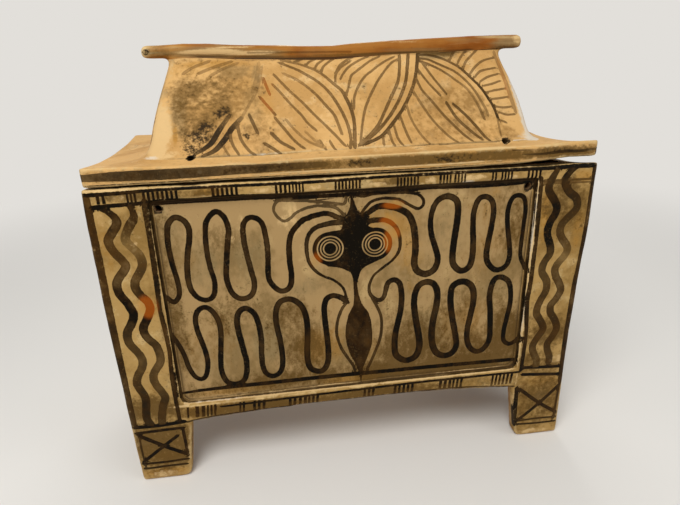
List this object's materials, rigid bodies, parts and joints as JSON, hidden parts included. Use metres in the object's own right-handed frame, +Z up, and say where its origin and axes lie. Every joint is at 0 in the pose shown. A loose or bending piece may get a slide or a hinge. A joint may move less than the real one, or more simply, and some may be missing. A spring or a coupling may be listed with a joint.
{
  "type": "larnax",
  "caption": "Rectangular painted clay chest on legs, with framed panels, a gabled lid that lifts off and holes for tying the lid down.",
  "frame": {"origin": "under the middle of the chest, on the level of its soles", "axes": "+X to the right along the chest, +Y from the front to the back, +Z up"},
  "size_m": [1.06, 0.467, 0.9813],
  "materials": {
    "frame_slip": "fired clay under a pale slip, painted dark brown, worn",
    "panel_slip": "fired clay under a greyed slip, painted dark brown",
    "lid_slip": "fired clay under a cream slip, painted brown, worn",
    "beam_slip": "fired clay with an orange-brown wash",
    "bare_clay": "bare fired clay, matt"
  },
  "bodies": {
    "chest": {"floor_slab": "bare_clay", "front_panel": "panel_slip", "back_panel": "panel_slip", "left_end_panel": "panel_slip", "right_end_panel": "panel_slip", "post_front_left": "frame_slip", "post_front_right": "frame_slip", "post_back_left": "frame_slip", "post_back_right": "frame_slip", "rim_rail_front": "frame_slip", "rim_rail_back": "frame_slip", "rim_rail_left": "frame_slip", "rim_rail_right": "frame_slip", "bottom_rail_front": "frame_slip", "bottom_rail_back": "frame_slip", "bottom_rail_left": "frame_slip", "bottom_rail_right": "frame_slip"},
    "lid": {"lid_frame": "lid_slip", "roof_slope_front": "lid_slip", "roof_slope_back": "lid_slip", "gable_left": "lid_slip", "gable_right": "lid_slip", "ridge_beam": "beam_slip"}
  },
  "joints": [
    {"name": "lid_lift", "type": "slide", "parent": "chest", "child": "lid", "axis": [0, 0, 1], "range_m": [0, 0.35]}
  ]
}
